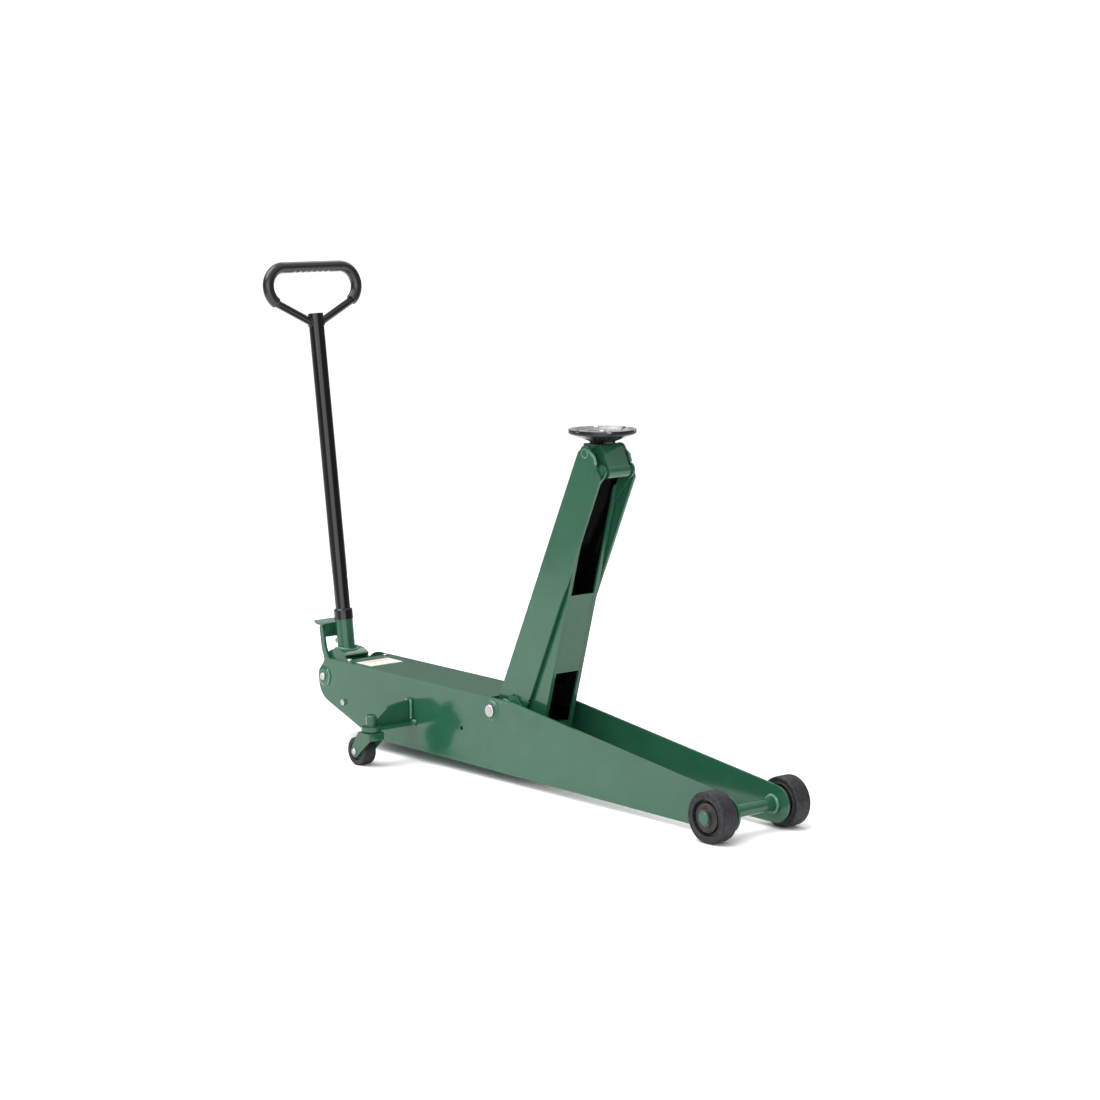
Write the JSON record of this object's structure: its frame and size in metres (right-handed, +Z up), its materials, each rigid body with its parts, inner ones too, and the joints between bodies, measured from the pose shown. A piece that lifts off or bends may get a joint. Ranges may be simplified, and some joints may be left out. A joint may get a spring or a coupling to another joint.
{
  "type": "car jack",
  "caption": "Long hydraulic trolley jack with a raised lift arm, levelling link, round saddle, front wheels, swivel casters, foot pedal and D-grip pump handle.",
  "frame": {"origin": "on the ground under the middle of the whole jack, at rest with the arm raised", "axes": "+X towards the front wheels, +Y to the jack's left, +Z up"},
  "size_m": [1.4597, 0.3964, 1.0613],
  "materials": {
    "green_paint": "semi-gloss",
    "rating_label": "gloss",
    "zinc_steel": "satin",
    "ground_steel": "ground",
    "cast_iron": "rough",
    "saddle_iron": "satin",
    "bronze": "satin",
    "black_paint": "gloss",
    "black_plastic": "satin",
    "tyre": "matt",
    "wheel_hub": "satin"
  },
  "bodies": {
    "chassis": {"side_plate_right": "green_paint", "side_plate_left": "green_paint", "top_cover": "green_paint", "rating_plate": "rating_label", "floor_pan": "green_paint", "front_axle": "green_paint", "axle_rings": "zinc_steel", "main_pivot_pin": "zinc_steel", "pivot_bosses": "green_paint", "link_pivot_pins": "ground_steel", "handle_pivot_bolts": "zinc_steel", "side_bolts": "zinc_steel", "pump_block": "cast_iron", "lift_cylinder": "cast_iron", "cylinder_gland": "cast_iron", "oil_reservoir": "green_paint", "filler_plug": "black_plastic", "outrigger_right": "green_paint", "outrigger_left": "green_paint"},
    "ram": {"ram_rod": "ground_steel", "ram_crosshead": "cast_iron"},
    "plunger": {"pump_plunger": "ground_steel"},
    "release": {"release_spindle": "cast_iron"},
    "yoke": {"handle_yoke": "green_paint", "yoke_bushings": "bronze", "pump_roller": "ground_steel", "pedal_fork": "green_paint", "pedal_tread": "green_paint"},
    "handle": {"handle_socket": "green_paint", "clamp_screw": "zinc_steel", "handle_tube": "black_paint", "handle_collar": "black_paint", "grip_frame": "black_paint", "grip_sleeve": "black_plastic"},
    "arm": {"arm_side_right": "green_paint", "arm_side_left": "green_paint", "arm_web": "green_paint", "arm_hub": "green_paint", "lift_crank": "cast_iron", "crank_pin": "ground_steel", "crank_roller": "ground_steel", "saddle_pivot_pin": "green_paint"},
    "link": {"link_cheek_right": "green_paint", "link_cheek_left": "green_paint", "link_web": "green_paint"},
    "carrier": {"saddle_carrier": "green_paint", "level_pin": "green_paint"},
    "saddle": {"saddle": "saddle_iron"},
    "front_wheel_right": {"front_tyre_right": "tyre", "front_hub_right": "wheel_hub"},
    "front_wheel_left": {"front_tyre_left": "tyre", "front_hub_left": "wheel_hub"},
    "caster_right": {"caster_fork_right": "green_paint", "caster_axle_right": "zinc_steel"},
    "caster_left": {"caster_fork_left": "green_paint", "caster_axle_left": "zinc_steel"},
    "caster_roller_right": {"caster_wheel_right": "tyre"},
    "caster_roller_left": {"caster_wheel_left": "tyre"}
  },
  "joints": [
    {"name": "lift_arm", "type": "hinge", "parent": "chassis", "child": "arm", "pos_m": [-0.01, 0, 0.149], "axis": [0, 1, 0], "range_deg": [0, 71]},
    {"name": "level_link", "type": "hinge", "parent": "chassis", "child": "link", "pos_m": [0.026, 0, 0.114], "axis": [0, 1, 0], "range_deg": [-1, 72]},
    {"name": "saddle_level", "type": "hinge", "parent": "arm", "child": "carrier", "pos_m": [0.26298, 0, 0.705], "axis": [0, 1, 0], "range_deg": [-72, 1]},
    {"name": "saddle_swivel", "type": "hinge", "parent": "carrier", "child": "saddle", "pos_m": [0.26098, 0, 0.722], "axis": [0, 0, 1], "continuous": true},
    {"name": "ram_slide", "type": "slide", "parent": "chassis", "child": "ram", "axis": [1, 0, 0], "range_m": [-0.101, 0.001]},
    {"name": "handle_pivot", "type": "hinge", "parent": "chassis", "child": "yoke", "pos_m": [-0.599, 0, 0.141], "axis": [0, -1, 0], "range_deg": [-5, 45]},
    {"name": "handle_twist", "type": "hinge", "parent": "yoke", "child": "handle", "pos_m": [-0.599, 0, 0.141], "axis": [-0.1291, 0, 0.9916], "range_deg": [0, 40], "stiffness_Nm_per_rad": 1.5, "springref_deg": -11.46},
    {"name": "pump_stroke", "type": "slide", "parent": "chassis", "child": "plunger", "axis": [1, 0, 0], "range_m": [-0.003, 0.025]},
    {"name": "release_turn", "type": "hinge", "parent": "chassis", "child": "release", "pos_m": [-0.599, 0, 0.141], "axis": [-0.788, 0, 0.6157], "range_deg": [-1, 41]},
    {"name": "front_wheel_right_spin", "type": "hinge", "parent": "chassis", "child": "front_wheel_right", "pos_m": [0.68, -0.0986, 0.05], "axis": [0, 1, 0], "continuous": true},
    {"name": "front_wheel_left_spin", "type": "hinge", "parent": "chassis", "child": "front_wheel_left", "pos_m": [0.68, 0.0986, 0.05], "axis": [0, 1, 0], "continuous": true},
    {"name": "caster_right_swivel", "type": "hinge", "parent": "chassis", "child": "caster_right", "pos_m": [-0.2865, -0.174, 0.075], "axis": [0, 0, 1], "continuous": true},
    {"name": "caster_left_swivel", "type": "hinge", "parent": "chassis", "child": "caster_left", "pos_m": [-0.2865, 0.174, 0.075], "axis": [0, 0, 1], "continuous": true},
    {"name": "caster_right_roll", "type": "hinge", "parent": "caster_right", "child": "caster_roller_right", "pos_m": [-0.3215, -0.174, 0.0305], "axis": [0, 1, 0], "continuous": true},
    {"name": "caster_left_roll", "type": "hinge", "parent": "caster_left", "child": "caster_roller_left", "pos_m": [-0.3215, 0.174, 0.0305], "axis": [0, 1, 0], "continuous": true}
  ],
  "couplings": [
    {"joint": "level_link", "follows": "lift_arm", "ratio": 1},
    {"joint": "saddle_level", "follows": "lift_arm", "ratio": -1},
    {"joint": "ram_slide", "follows": "lift_arm", "m_per_rad": -0.07966},
    {"joint": "pump_stroke", "follows": "handle_pivot", "m_per_rad": 0.031},
    {"joint": "release_turn", "follows": "handle_twist", "ratio": 1}
  ]
}
